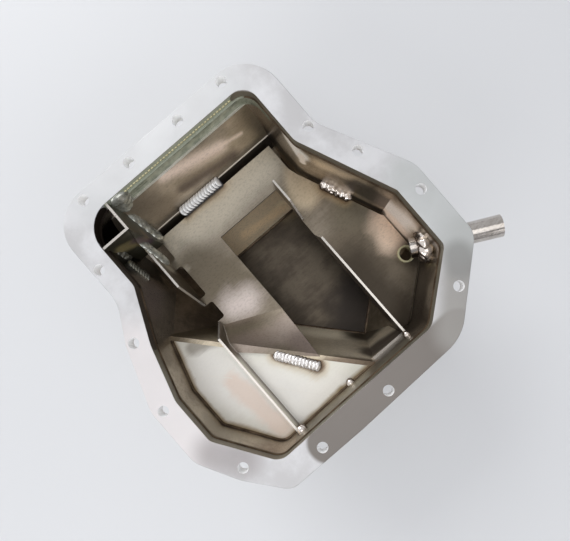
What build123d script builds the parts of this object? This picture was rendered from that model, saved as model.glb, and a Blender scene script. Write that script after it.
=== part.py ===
from build123d import *
import math
import os

os.makedirs("parts", exist_ok=True)

# Frame of the part, in millimetres
# The pan stands on its deep floor, open side up. The origin is on the underside of the
# deep floor, under the mirror axis of the flange. +Y points to the wall over the ramp
# and +X to the side with the tube.

# Driving dimensions

SHEET = 2.0                  # thickness of every folded sheet
SUMP_DEPTH = 142.0           # gasket face to the inside of the deep floor
SHELF_DEPTH = 40.0           # gasket face to the shallow floor
BAFFLE_DEPTH = 66.0          # gasket face to the top of the main baffle
PAN_HEIGHT = SUMP_DEPTH + SHEET

FLANGE_THICKNESS = 9.0
FLANGE_CHAMFER = 0.8
HOLE_RADIUS = 4.5            # clearance for the flange bolts

FLANGE_OUTLINE = [           # corner x, corner y, corner radius
    (105.5, 141.5, 34),
    (105.5, 62, 30),
    (144, -13, 30),
    (144, -85, 18),
    (83, -140.5, 40),
    (-22, -144.2, 60),
    (-96, -144.3, 15),
    (-122, -112, 40),
    (-140.5, -78, 20),
    (-140.5, -26, 25),
    (-121.2, 26.6, 40),
    (-104, 57, 30),
    (-104, 141.5, 32),
]
OPENING_OUTLINE = [
    (84, 121.5, 14),
    (84, 62, 16),
    (119.5, -20, 5),
    (119.5, -76.5, 8),
    (70, -118.6, 15),
    (-20, -119.9, 60),
    (-88, -121.3, 14),
    (-120, -73, 10),
    (-120, -32, 20),
    (-106, 14, 60),
    (-85.4, 58, 10),
    (-85.4, 121.5, 25),
]
BOLT_PAIRS = [               # x of the left hole, x of the right hole, y of both
    (-71.6, 70.2, 134.2),
    (-25.5, 24.8, 133.4),
    (-114.9, 116.0, 23.8),
    (-132.0, 134.0, -31.5),
    (-56.2, 11.9, -134.2),
]
SINGLE_BOLTS = [(-97.8, 84.9), (99.2, 63.5), (-113.7, -105.6), (106.9, -108.2)]

COLLAR_DEPTH = 20.0          # top edge of the ramp sheet, which laps inside the collar
COLLAR_LAP = 4.0             # how far the collar reaches down behind the ramp sheet
BACK_WALL_Y = 121.5
RAMP_BEND_Y = 108.5          # where the inclined wall turns into the ramp
RAMP_BEND_DEPTH = 66.0
FLOOR_BACK_Y = 57.0          # foot of the ramp on the deep floor
LEFT_WALL_X = -85.4
LEFT_BEND_DEPTH = 84.0
FLOOR_LEFT_X = -56.0
RIGHT_WALL_X = 119.5
WING_DEPTH = 92.0            # depth at which the wing floor leaves the right wall
FLOOR_RIGHT_X = 67.0
WAIST_X = 84.0
WAIST_BEND_DEPTH = 88.0
WAIST_FLOOR_X = 66.0
WAIST_Y = 62.0
GUSSET_FLOOR_Y = 48.0
FRONT_WALL_Y = -118.6
FRONT_BEND_DEPTH = 66.0
FRONT_FLOOR_Y = -110.3
CORNER_ANGLE = -49.6         # direction in plan that the corner panel faces, in degrees
CORNER_TOP = 135.7           # its distance from the origin at the front bend depth
CORNER_FOOT = 105.0          # its distance from the origin on the deep floor
STEP_ANGLE = 42.0            # direction in plan that the step wall faces, in degrees
STEP_TOP = -65.6             # distance of the step edge from the origin
STEP_FOOT = -48.0            # distance of the foot of the step wall from the origin
STEP_LIP = 4.0               # width of the folded lip along the step edge
LINER_DEPTH = 48.0           # top edge of the liner beside the step wall
LINER_END_X = 56.0

BAFFLE_BACK_Y = 100.0
BAFFLE_BEND_X = -68.0        # fold line of the left fins
BAFFLE_CORNER_X = 78.0       # right edge beside the waist of the pan
BAFFLE_CORNER_Y = 71.0
BAFFLE_FIT = 3.0             # gap between the baffle and the slanted right wall
BAFFLE_CLEARANCE = 1.1       # gap to the other walls
CUTOUT_LEFT_X = -14.6
CUTOUT_RIGHT_X = 55.6
CUTOUT_BACK_Y = 63.5
TAIL_LEFT_Y = (-1.5, -30.6)  # start and end of the upturned tail at its left edge
TAIL_RIGHT_Y = (-27.0, -83.4)
TAIL_FIT = 0.8               # how far before the step edge the tail is up at shelf level
NOTCH_REACH = 7.0            # width of the relief notches along the fold of the left fins
NOTCHES = [(76.0, 110.0), (31.0, 67.5), (3.5, 22.5)]
NOTCH_CORNER = 2.5
LEFT_FIN_DEPTH = 36.0        # gasket face to the top of the left fin
LEFT_FIN_Y = (45.0, 23.0)    # where its top starts to fall, and where it ends
SHELF_FIN_DEPTH = 24.0
SHELF_FIN_Y = (3.0, -14.5)   # foot and top of its slanted end
RIGHT_FIN_DEPTH = 45.0
RIGHT_FIN_END_DEPTH = 38.0
SHORT_FIN_Y = (65.0, 41.0, 24.0)
LONG_FIN_Y = (5.0, -3.0)
FIN_FIT = 1.0                # gap between the end of a fin and the front wall
OIL_HOLE = (110.0, -65.5)
OIL_HOLE_RADIUS = 8.3        # filled by the short collar of pipe
COLLAR_WALL = 1.6
COLLAR_TOP_DEPTH = 63.0
COLLAR_FOOT_DEPTH = 72.0

DUCT_X = -59.5               # outer face of the duct leg that runs along Y
DUCT_Y = 95.0                # outer face of the duct leg that runs along X
DUCT_TOP_DEPTH = 1.5
DUCT_FOOT_DEPTH = 62.0
DUCT_GUSSET_X = -72.0        # far edge of the small plate between the duct and the left fin

TUBE_RADIUS = 9.5
TUBE_WALL = 1.8
TUBE_CROSSING = (119.5, -68.0, 37.0)     # x, y and depth where its axis meets the wall
TUBE_OUTER_END = (174.3, -97.5, 22.0)
TUBE_INSIDE = 12.0                       # length inside the right wall

BUNG_RADIUS = 14.0
BUNG_LENGTH = 10.0
BUNG_INSIDE = 3.0            # how far the bung stands into the sump
BUNG_DEPTH = 122.0
BUNG_ALONG = 10.0            # place of the drain along the step wall
PLUG_RADIUS = 8.0
PLUG_SHANK = 12.0
PLUG_FIT = 0.15              # radial gap between the shank and its bore
PLUG_HEAD = 19.0             # across the flats
PLUG_HEAD_LENGTH = 9.0
PLUG_CORNERS = 10.6          # radius that trims the corners of its head
WASHER_RADIUS = 12.0
WASHER_THICKNESS = 1.5

BEAD_RADIUS = 1.7            # plain seam welds
FLANGE_BEAD_RADIUS = 1.1     # seam weld under the flange
RIPPLE = 4.4                 # pitch of the ripples along a heavy bead
RIPPLE_VALLEY = 0.86         # radius between two ripples, as a share of the bead's radius
BEAD_SIDES = 12              # flats round a heavy or short bead
END_TAPER = 0.6              # length and radius of a bead's tapered end, as shares of its radius
END_RADIUS = 0.55
SEAM_SIDES = 6               # flats round a plain bead along the opening
LEAST_BEAD = 2.0             # smaller scraps of a trimmed bead are left out, in cubic millimetres
RING_CENTRE = 10.6           # ring of weld round the tube
RING_RADIUS = 4.2
RING_STEPS = 24              # straight lengths in the ring
HEAVY_BEADS = {              # start and end as x, y and depth, half width, its share in height, and up
    "baffle_back_weld": ((-28.0, 106.0, 63.0), (19.0, 105.6, 63.0), 7.2, 0.6, (0, -0.45, 0.89)),
    "baffle_tail_weld": ((-43.2, -57.5, 39.5), (-22.0, -88.5, 39.5), 6.2, 0.65, (0, 0, 1)),
    "baffle_side_weld": ((93.4, 35.5, 62.0), (103.2, 13.0, 62.0), 6.4, 0.62, (-0.65, -0.28, 0.71)),
}
TACKS = {                    # short beads, given in the same way
    "duct_tacks": [
        ((-54.0, 120.8, 11.0), (-53.0, 120.8, 16.0), 4.6, 0.7, (0, -1, 0)),
        ((-59.3, 114.0, 38.0), (-59.3, 101.0, 54.0), 5.6, 0.38, (1, 0, 0)),
        ((-85.2, 91.0, 13.0), (-85.2, 84.0, 22.0), 5.0, 0.6, (1, 0, 0)),
        ((-85.2, 79.0, 27.0), (-85.2, 66.0, 33.0), 4.8, 0.6, (1, 0, 0)),
    ],
    "fin_tacks": [
        ((-67.8, 91.0, 42.0), (-67.8, 79.0, 53.0), 5.2, 0.38, (1, 0, 0)),
        ((-66.0, -118.0, 26.0), (-66.0, -118.0, 31.0), 4.4, 1.0, (0, 1, 0)),
        ((-9.3, -117.5, 37.0), (-9.3, -117.5, 39.5), 4.4, 1.0, (0, 1, 0)),
        ((55.4, -117.0, 36.0), (55.4, -117.0, 40.0), 4.0, 1.0, (0, 1, 0)),
    ],
}

BIG = 500.0


# Small helpers

def height(depth):
    """Height above the origin of a level given by its depth under the gasket face."""
    return PAN_HEIGHT - depth


def outline(corners):
    """Flat face with rounded corners."""
    points = [(x, y) for x, y, _ in corners]
    radii = [radius for _, _, radius in corners]
    return make_face(FilletPolyline(*points, radius=radii, close=True))


def prism(face, bottom, top):
    """Upright solid of a flat face between two heights."""
    return Pos(0, 0, bottom) * extrude(face, amount=top - bottom)


def block(x0, x1, y0, y1, z0, z1):
    """Box between two corners."""
    centre = Pos((x0 + x1) / 2, (y0 + y1) / 2, (z0 + z1) / 2)
    return centre * Box(x1 - x0, y1 - y0, z1 - z0)


def beyond(plane, shift=0.0):
    """All space beyond a plane, which may be moved along its normal."""
    point, normal = plane
    moved = Plane(origin=point + normal * shift, z_dir=normal)
    return moved * Box(BIG, BIG, BIG, align=(Align.CENTER, Align.CENTER, Align.MIN))


def slope(facing, upper, lower):
    """Plane through two levels, each a distance along a plan direction and a depth.

    The normal points outwards and down.
    """
    angle = math.radians(facing)
    reach = upper[0] - lower[0]
    drop = lower[1] - upper[1]
    normal = Vector(math.cos(angle) * drop, math.sin(angle) * drop, -reach).normalized()
    point = Vector(math.cos(angle) * upper[0], math.sin(angle) * upper[0], height(upper[1]))
    return point, normal


def meeting(first, second, third):
    """Point that three planes share."""
    (p1, n1), (p2, n2), (p3, n3) = first, second, third
    volume = n1.dot(n2.cross(n3))
    total = n2.cross(n3) * p1.dot(n1) + n3.cross(n1) * p2.dot(n2) + n1.cross(n2) * p3.dot(n3)
    return total / volume


def rod(start, end, radius):
    """Round rod between two points."""
    axis = end - start
    frame = Plane(origin=start, z_dir=axis.normalized())
    return frame * Cylinder(radius, axis.length, align=(Align.CENTER, Align.CENTER, Align.MIN))


def side_profile(points, x0, x1):
    """Upright sheet across X, from its outline as Y and depth."""
    corners = [Vector(x0, y, height(depth)) for y, depth in points]
    return extrude(make_face(Polyline(*corners, close=True)), amount=x1 - x0, dir=(1, 0, 0))


def whole(shape):
    """The solids of a boolean's result as one shape."""
    solids = shape.solids()
    return solids[0] if len(solids) == 1 else Compound(children=solids)


# Planes that shape the sump

INCLINE = slope(90, (BACK_WALL_Y - SHEET, COLLAR_DEPTH), (RAMP_BEND_Y, RAMP_BEND_DEPTH))
RAMP = slope(90, (RAMP_BEND_Y, RAMP_BEND_DEPTH), (FLOOR_BACK_Y, SUMP_DEPTH))
LEFT_SLOPE = slope(180, (-LEFT_WALL_X, LEFT_BEND_DEPTH), (-FLOOR_LEFT_X, SUMP_DEPTH))
WING = slope(0, (RIGHT_WALL_X, WING_DEPTH), (FLOOR_RIGHT_X, SUMP_DEPTH))
WAIST = slope(0, (WAIST_X, WAIST_BEND_DEPTH), (WAIST_FLOOR_X, SUMP_DEPTH))
FRONT = slope(-90, (-FRONT_WALL_Y, FRONT_BEND_DEPTH), (-FRONT_FLOOR_Y, SUMP_DEPTH))
CORNER = slope(CORNER_ANGLE, (CORNER_TOP, FRONT_BEND_DEPTH), (CORNER_FOOT, SUMP_DEPTH))
STEP = slope(STEP_ANGLE + 180, (-STEP_TOP, SHELF_DEPTH), (-STEP_FOOT, SUMP_DEPTH))
FLOOR = (Vector(0, 0, SHEET), Vector(0, 0, -1))
GUSSET_RUN = Vector(WAIST_X - FLOOR_RIGHT_X, WAIST_Y - GUSSET_FLOOR_Y, 0)
GUSSET = (
    Vector(WAIST_X, WAIST_Y, 0),
    Vector(-GUSSET_RUN.Y, GUSSET_RUN.X, 0).normalized(),
)

OPENING = outline(OPENING_OUTLINE)
UNDER_FLANGE = height(FLANGE_THICKNESS)


def hull(face, grow):
    """Inside of the pan when grow is 0, outside of its sheets when grow is their thickness."""
    body = prism(face, SHEET - grow, UNDER_FLANGE)
    below_collar = block(-BIG, BIG, -BIG, BIG, -BIG, height(COLLAR_DEPTH))
    body -= beyond(INCLINE, grow) & below_collar
    for plane in (RAMP, FRONT, CORNER, WING):
        body -= beyond(plane, grow)
    below_shelf = block(-BIG, BIG, -BIG, BIG, -BIG, height(SHELF_DEPTH + grow))
    for plane in (STEP, LEFT_SLOPE):
        body -= beyond(plane, grow) & below_shelf
    body -= beyond(WAIST, grow) & beyond(GUSSET, grow)
    return body


CAVITY = hull(OPENING, 0.0)
SHELL = hull(offset(OPENING, amount=SHEET), SHEET) - CAVITY
FULL_CAVITY = CAVITY + prism(OPENING, UNDER_FLANGE, PAN_HEIGHT)


# Flange

def make_flange():
    """Thick plate with the opening, a row of bolt holes and a broken outer edge."""
    plate = prism(outline(FLANGE_OUTLINE), UNDER_FLANGE, PAN_HEIGHT)
    plate = chamfer(plate.edges().group_by(Axis.Z)[-1], FLANGE_CHAMFER)
    plate -= prism(OPENING, UNDER_FLANGE, PAN_HEIGHT)
    holes = [(x, y) for left, right, y in BOLT_PAIRS for x in (left, right)] + SINGLE_BOLTS
    for x, y in holes:
        plate -= Pos(x, y, UNDER_FLANGE) * Cylinder(
            HOLE_RADIUS, FLANGE_THICKNESS, align=(Align.CENTER, Align.CENTER, Align.MIN)
        )
    return plate


# Sheets of the pan

def split_shell():
    """Cut the shell into the sheets that it is welded from."""
    shelf_top = height(SHELF_DEPTH)
    shelf_under = shelf_top - SHEET
    shelf_slab = block(-BIG, BIG, -BIG, BIG, shelf_under, shelf_top)
    under_shelf = block(-BIG, BIG, -BIG, BIG, -BIG, shelf_under)
    under_collar = block(-BIG, BIG, -BIG, BIG, -BIG, height(COLLAR_DEPTH))
    under_front = block(-BIG, BIG, -BIG, BIG, -BIG, height(FRONT_BEND_DEPTH))
    under_waist = block(-BIG, BIG, -BIG, BIG, -BIG, height(WAIST_BEND_DEPTH))
    low = block(-BIG, BIG, -BIG, BIG, -BIG, SHEET)
    behind_waist = beyond(GUSSET) & under_waist
    collar_strip = block(DUCT_X, BIG, DUCT_Y, BIG, height(COLLAR_DEPTH), BIG)
    left_split_y = OPENING_OUTLINE[9][1]
    front_left_x = OPENING_OUTLINE[6][0] + OPENING_OUTLINE[6][2]
    front_right_x = OPENING_OUTLINE[4][0] - OPENING_OUTLINE[4][2]
    regions = {
        "sump_floor": low,
        "ramp_sheet": (beyond(INCLINE) + beyond(RAMP)) & under_collar,
        "step_wall": (beyond(STEP) & under_shelf) + (beyond(STEP) & shelf_slab - beyond(STEP, STEP_LIP)),
        "shelf_floor": shelf_slab & beyond(STEP, STEP_LIP),
        "left_slope": beyond(LEFT_SLOPE) & under_shelf,
        "wing_floor": beyond(WING) - beyond(GUSSET),
        "waist_panel": (beyond(WAIST) & behind_waist) - beyond(WAIST, SHEET),
        "waist_gusset": behind_waist & beyond(WAIST, SHEET),
        "corner_panel": beyond(CORNER) & under_front,
        "front_panel": beyond(FRONT) & under_front,
        "top_collar": collar_strip,
        "left_wall": block(-BIG, 0, left_split_y, BIG, -BIG, BIG),
        "shelf_wall": block(-BIG, front_left_x, -BIG, left_split_y, -BIG, BIG),
        "front_wall": block(front_left_x, front_right_x, -BIG, 0, -BIG, BIG),
        "right_wall": block(front_right_x - BIG, BIG, -BIG, BIG, -BIG, BIG),
    }
    sheets = {}
    rest = SHELL
    for name, region in regions.items():
        sheets[name] = whole(rest & region)
        rest = rest - region
    return sheets


def make_collar_lap():
    """Lower edge of the collar, behind the top edge of the ramp sheet."""
    wall = offset(OPENING, amount=SHEET) - OPENING
    lap = prism(wall, height(COLLAR_DEPTH + COLLAR_LAP), height(COLLAR_DEPTH))
    back = block(DUCT_X, WAIST_X - SHEET, BACK_WALL_Y, BIG, 0, PAN_HEIGHT)
    return lap & back & beyond(INCLINE, SHEET)


def make_step_liner():
    """Return of the step wall that lines the lower part of the front wall."""
    front_edge = (Vector(0, FRONT_WALL_Y + SHEET, 0), Vector(0, -1, 0))
    lined = beyond(front_edge) + beyond(FRONT, -SHEET)
    zone = block(-BIG, LINER_END_X, -BIG, 0, -BIG, height(LINER_DEPTH))
    return whole(CAVITY & lined & zone - beyond(STEP))


# Main baffle

def waist_edge():
    """Edge of the baffle along the slanted right wall, a small gap inside it."""
    (x0, y0, _), (x1, y1, _) = OPENING_OUTLINE[1:3]
    run = Vector(x1 - x0, y1 - y0, 0).normalized()
    inward = Vector(run.Y, -run.X, 0)
    inward = inward if inward.X < 0 else -inward
    gap = inward * BAFFLE_FIT
    return (x0 + gap.X, y0 + gap.Y), (x1 + gap.X, y1 + gap.Y)


def make_tail():
    """Part of the baffle that turns up from the flat plate to the shelf."""
    cosine = math.cos(math.radians(STEP_ANGLE))
    sine = math.sin(math.radians(STEP_ANGLE))
    sections = []
    for x, (start, end) in ((BAFFLE_BEND_X - SHEET, TAIL_LEFT_Y), (CUTOUT_LEFT_X, TAIL_RIGHT_Y)):
        top = (STEP_TOP + TAIL_FIT - x * cosine) / sine
        profile = [
            (start, BAFFLE_DEPTH + SHEET),
            (top, SHELF_DEPTH),
            (end, SHELF_DEPTH),
            (end, SHELF_DEPTH - SHEET),
            (top, SHELF_DEPTH - SHEET),
            (start, BAFFLE_DEPTH),
        ]
        corners = [Vector(x, y, height(depth)) for y, depth in profile]
        sections.append(make_face(Polyline(*corners, close=True)))
    return loft(sections, ruled=True)


def front_y(x):
    """Inside of the front wall at a given x."""
    (x0, y0, _), (x1, y1, _), (x2, y2, _) = OPENING_OUTLINE[4:7]
    if x > x1:
        return y0 + (y1 - y0) * (x - x0) / (x1 - x0)
    return y1 + (y2 - y1) * (x - x1) / (x2 - x1)


def make_baffle():
    """Plate with a T-shaped cut-out, an upturned tail and fins folded up along two edges."""
    left = BAFFLE_BEND_X - SHEET
    corner, shoulder = waist_edge()
    far = RIGHT_WALL_X
    plate = make_face(Polyline(
        (left, BAFFLE_BACK_Y),
        (BAFFLE_CORNER_X, BAFFLE_BACK_Y),
        (BAFFLE_CORNER_X, BAFFLE_CORNER_Y),
        corner,
        shoulder,
        (far, shoulder[1] - BAFFLE_FIT),
        (far, FRONT_WALL_Y),
        (CUTOUT_RIGHT_X, FRONT_WALL_Y),
        (CUTOUT_RIGHT_X, CUTOUT_BACK_Y),
        (CUTOUT_LEFT_X, CUTOUT_BACK_Y),
        (CUTOUT_LEFT_X, TAIL_RIGHT_Y[0]),
        (left, TAIL_LEFT_Y[0]),
        close=True,
    ))
    plate = plate & offset(OPENING, amount=-BAFFLE_CLEARANCE)
    for start, end in NOTCHES:
        notch = RectangleRounded(2 * NOTCH_REACH, end - start, NOTCH_CORNER)
        plate -= Pos(BAFFLE_BEND_X, (start + end) / 2) * notch
    plate -= Pos(*OIL_HOLE) * Circle(OIL_HOLE_RADIUS)
    baffle = prism(plate, height(BAFFLE_DEPTH + SHEET), height(BAFFLE_DEPTH))
    baffle += make_tail()

    foot = BAFFLE_DEPTH + SHEET
    fin_start = DUCT_Y - SHEET
    low_corner = BAFFLE_DEPTH - SHEET
    baffle += side_profile([
        (fin_start, foot),
        (fin_start, LEFT_FIN_DEPTH),
        (LEFT_FIN_Y[0], LEFT_FIN_DEPTH),
        (LEFT_FIN_Y[1], low_corner),
        (LEFT_FIN_Y[1], foot),
    ], left, BAFFLE_BEND_X)

    cosine = math.cos(math.radians(STEP_ANGLE))
    sine = math.sin(math.radians(STEP_ANGLE))
    on_shelf = (STEP_TOP + TAIL_FIT - left * cosine) / sine
    fin_end = front_y(left) + FIN_FIT
    baffle += side_profile([
        (SHELF_FIN_Y[0], foot),
        (SHELF_FIN_Y[0], BAFFLE_DEPTH),
        (SHELF_FIN_Y[1], SHELF_FIN_DEPTH),
        (fin_end, SHELF_FIN_DEPTH),
        (fin_end, SHELF_DEPTH),
        (on_shelf, SHELF_DEPTH),
        (TAIL_LEFT_Y[0], foot),
    ], left, BAFFLE_BEND_X)

    right_end = front_y(CUTOUT_RIGHT_X) + FIN_FIT
    right_side = CUTOUT_RIGHT_X + SHEET
    baffle += side_profile([
        (SHORT_FIN_Y[0], foot),
        (SHORT_FIN_Y[0], RIGHT_FIN_DEPTH),
        (SHORT_FIN_Y[1], RIGHT_FIN_DEPTH),
        (SHORT_FIN_Y[2], low_corner),
        (SHORT_FIN_Y[2], foot),
    ], CUTOUT_RIGHT_X, right_side)
    baffle += side_profile([
        (LONG_FIN_Y[0], foot),
        (LONG_FIN_Y[0], low_corner),
        (LONG_FIN_Y[1], RIGHT_FIN_DEPTH),
        (right_end, RIGHT_FIN_END_DEPTH),
        (right_end, foot),
    ], CUTOUT_RIGHT_X, right_side)
    return whole(baffle)


def make_oil_collar():
    """Short collar of pipe in the hole of the baffle near the tube."""
    low, high = height(COLLAR_FOOT_DEPTH), height(COLLAR_TOP_DEPTH)
    outer = prism(Pos(*OIL_HOLE) * Circle(OIL_HOLE_RADIUS), low, high)
    return outer - prism(Pos(*OIL_HOLE) * Circle(OIL_HOLE_RADIUS - COLLAR_WALL), low, high)


# Duct in the corner

def make_corner_duct():
    """L-shaped sheet that closes the rounded corner into a quarter-round duct."""
    low = height(DUCT_FOOT_DEPTH)
    high = height(DUCT_TOP_DEPTH)
    leg_y = block(DUCT_X - SHEET, DUCT_X, DUCT_Y, BACK_WALL_Y + SHEET, low, high)
    leg_x = block(LEFT_WALL_X - SHEET, DUCT_X, DUCT_Y, DUCT_Y + SHEET, low, high)
    return whole((leg_y + leg_x) & FULL_CAVITY)


def make_duct_gusset():
    """Small plate lapped on the duct that carries the end of the left fin."""
    points = [
        (DUCT_X, DUCT_TOP_DEPTH),
        (DUCT_GUSSET_X, LEFT_FIN_DEPTH),
        (DUCT_GUSSET_X, DUCT_FOOT_DEPTH),
        (DUCT_X, DUCT_FOOT_DEPTH),
    ]
    corners = [Vector(x, DUCT_Y, height(depth)) for x, depth in points]
    return extrude(make_face(Polyline(*corners, close=True)), amount=SHEET, dir=(0, -1, 0))


# Tube stub

def spot(values):
    """Point from x, y and depth."""
    return Vector(values[0], values[1], height(values[2]))


TUBE_AXIS = (spot(TUBE_OUTER_END) - spot(TUBE_CROSSING)).normalized()
TUBE_INNER_END = spot(TUBE_CROSSING) - TUBE_AXIS * TUBE_INSIDE


def make_tube():
    """Open round tube."""
    outside = rod(TUBE_INNER_END, spot(TUBE_OUTER_END), TUBE_RADIUS)
    return outside - rod(TUBE_INNER_END, spot(TUBE_OUTER_END), TUBE_RADIUS - TUBE_WALL)


# Drain

def drain_frame():
    """Plane on the inside of the step wall at the drain, facing out of the pan."""
    point, normal = STEP
    rise = Vector(0, 0, 1) - normal * normal.Z
    rise = rise.normalized()
    along = normal.cross(rise)
    down = (height(BUNG_DEPTH) - point.Z) / rise.Z
    origin = point + rise * down + along * BUNG_ALONG
    return Plane(origin=origin, x_dir=along, z_dir=normal)


def standing(radius, start, length):
    """Cylinder along the drain axis."""
    return drain_frame() * Pos(0, 0, start) * Cylinder(
        radius, length, align=(Align.CENTER, Align.CENTER, Align.MIN)
    )


def make_drain():
    """Threaded bung, its washer and its hexagon plug."""
    seat = BUNG_LENGTH - BUNG_INSIDE
    bore = PLUG_RADIUS + PLUG_FIT
    bung = standing(BUNG_RADIUS, -BUNG_INSIDE, BUNG_LENGTH)
    bung = chamfer(bung.edges().filter_by(GeomType.CIRCLE), FLANGE_CHAMFER)
    bung -= standing(bore, -BUNG_INSIDE, BUNG_LENGTH)
    washer = standing(WASHER_RADIUS, seat, WASHER_THICKNESS)
    washer -= standing(bore, seat, WASHER_THICKNESS)
    head_base = seat + WASHER_THICKNESS
    hexagon = RegularPolygon(PLUG_HEAD / 2, 6, major_radius=False)
    head = drain_frame() * Pos(0, 0, head_base) * extrude(hexagon, amount=PLUG_HEAD_LENGTH)
    head &= standing(PLUG_CORNERS, head_base, PLUG_HEAD_LENGTH)
    plug = head + standing(PLUG_RADIUS, head_base - PLUG_SHANK, PLUG_SHANK)
    return bung, washer, whole(plug)


# Welds

def ring_of(frame, rise, radius, height_share):
    """Corners of a flat outline across a bead, at a distance along it."""
    turns = [2 * math.pi * k / BEAD_SIDES for k in range(BEAD_SIDES)]
    return [
        frame.from_local_coords(
            Vector(radius * height_share * math.cos(t), radius * math.sin(t), rise)
        )
        for t in turns
    ]


def skin(rings, closed=False):
    """Solid with flat faces between rings of corners, with two ends or round in a loop."""
    faces = []
    following = rings[1:] + rings[:1] if closed else rings[1:]
    for first, second in zip(rings, following):
        for k in range(len(first)):
            nxt = (k + 1) % len(first)
            corners = (first[k], first[nxt], second[nxt], second[k])
            faces.append(make_face(Polyline(*corners, close=True)).face())
    if not closed:
        faces += [make_face(Polyline(*end, close=True)).face() for end in (rings[0], rings[-1])]
    return Solid(Shell(faces))


def bead_frame(start, end, up):
    """Plane across a bead at its start, with its height along X."""
    along = (spot(end) - spot(start)).normalized()
    up = Vector(*up)
    up = (up - along * up.dot(along)).normalized()
    return Plane(origin=spot(start), x_dir=up, z_dir=along)


def rippled_bead(start, end, radius, height_share, up):
    """Heavy weld bead with even ripples along its length."""
    length = (spot(end) - spot(start)).length
    count = max(2, round(length / RIPPLE))
    pitch = length / count
    frame = bead_frame(start, end, up)
    taper = radius * END_TAPER
    rings = [ring_of(frame, -taper, radius * END_RADIUS, height_share)]
    for number in range(count):
        rings.append(ring_of(frame, number * pitch, radius * RIPPLE_VALLEY, height_share))
        rings.append(ring_of(frame, (number + 0.5) * pitch, radius, height_share))
    rings.append(ring_of(frame, length, radius * RIPPLE_VALLEY, height_share))
    rings.append(ring_of(frame, length + taper, radius * END_RADIUS, height_share))
    return skin(rings)


def round_bead(start, end, radius, height_share, up):
    """Short bead with tapered ends."""
    length = (spot(end) - spot(start)).length
    frame = bead_frame(start, end, up)
    taper = radius * END_TAPER
    levels = [(-taper, END_RADIUS), (0, 1), (length, 1), (length + taper, END_RADIUS)]
    return skin([ring_of(frame, rise, radius * share, height_share) for rise, share in levels])


def tube_ring():
    """Ring of weld round the tube where it passes through the wall."""
    across = Plane(origin=spot(TUBE_CROSSING), z_dir=TUBE_AXIS)
    rings = []
    for step in range(RING_STEPS):
        turn = 2 * math.pi * step / RING_STEPS
        outward = across.x_dir * math.cos(turn) + across.y_dir * math.sin(turn)
        centre = across.origin + outward * RING_CENTRE
        section = Plane(origin=centre, x_dir=outward, z_dir=outward.cross(TUBE_AXIS))
        rings.append(ring_of(section, 0, RING_RADIUS, 1.0))
    return skin(rings, closed=True)


def seam(first, second, ends):
    """Plain bead along the line where two planes meet, between two end planes."""
    start = meeting(first, second, ends[0])
    end = meeting(first, second, ends[1])
    return rod(start, end, BEAD_RADIUS) & CAVITY


def make_sump_welds():
    """Plain beads on the inside seams of the sump."""
    beads = seam(STEP, FLOOR, (LEFT_SLOPE, FRONT))
    beads += seam(LEFT_SLOPE, FLOOR, (STEP, RAMP))
    beads += seam(WING, FLOOR, (GUSSET, CORNER))
    beads += seam(CORNER, FLOOR, (WING, FRONT))
    beads += seam(RAMP, FLOOR, (LEFT_SLOPE, WAIST))
    return whole(beads)


def opening_bead(radius, level):
    """Plain bead round the opening at one height."""
    wire = FilletPolyline(
        *[(x, y) for x, y, _ in OPENING_OUTLINE],
        radius=[corner_radius for _, _, corner_radius in OPENING_OUTLINE],
        close=True,
    )
    section = Plane(origin=wire @ 0, z_dir=wire % 0) * RegularPolygon(radius, SEAM_SIDES)
    return Pos(0, 0, level) * sweep(section, path=wire)


def make_perimeter_welds():
    """Plain beads round the flange and round the shelf."""
    around_flange = opening_bead(FLANGE_BEAD_RADIUS, UNDER_FLANGE) & FULL_CAVITY
    around_shelf = opening_bead(BEAD_RADIUS, height(SHELF_DEPTH)) & CAVITY
    around_shelf &= beyond(STEP, STEP_LIP)
    return whole(around_flange), whole(around_shelf)


# Build and export

sheets = split_shell()
sheets["step_wall"] = whole(sheets["step_wall"] + make_step_liner())
sheets["top_collar"] = whole(sheets["top_collar"] + make_collar_lap())
baffle = whole(make_baffle() - sheets["step_wall"] - sheets["shelf_floor"])
duct = make_corner_duct()
gusset = make_duct_gusset()
tube = make_tube()
bung, washer, plug = make_drain()
sheets["step_wall"] = whole(sheets["step_wall"] - standing(BUNG_RADIUS, -BUNG_LENGTH, 3 * BUNG_LENGTH))
tube_rod = rod(TUBE_INNER_END, spot(TUBE_OUTER_END), TUBE_RADIUS)
sheets["right_wall"] = whole(sheets["right_wall"] - tube_rod)
flange = make_flange()
flange_weld, shelf_weld = make_perimeter_welds()

pieces = {"flange": flange, **sheets}
pieces.update({
    "main_baffle": baffle,
    "oil_collar": make_oil_collar(),
    "corner_duct": duct,
    "duct_gusset": gusset,
    "dipstick_tube": tube,
    "drain_bung": bung,
    "drain_washer": washer,
    "drain_plug": plug,
})


def meets(first, second):
    """Whether the bounding boxes of two shapes touch."""
    a, b = first.bounding_box(), second.bounding_box()
    return all(
        getattr(a.min, axis) <= getattr(b.max, axis) and getattr(b.min, axis) <= getattr(a.max, axis)
        for axis in ("X", "Y", "Z")
    )


def add_weld(name, bead, inside=True):
    """Add a bead, kept inside the pan where it belongs there and cut by what it sits on."""
    if inside:
        bead = bead & FULL_CAVITY
    for piece in list(pieces.values()):
        if meets(bead, piece):
            bead = bead - piece
    solids = [solid for solid in bead.solids() if solid.volume > LEAST_BEAD]
    pieces[name] = solids[0] if len(solids) == 1 else Compound(children=solids)


add_weld("flange_weld", flange_weld)
add_weld("shelf_weld", shelf_weld)
add_weld("sump_weld", make_sump_welds())
for name, bead in HEAVY_BEADS.items():
    add_weld(name, rippled_bead(*bead))
add_weld("tube_weld", tube_ring() - tube_rod, inside=False)
for name, tacks in TACKS.items():
    add_weld(name, Compound(children=[round_bead(*tack) for tack in tacks]))

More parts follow.
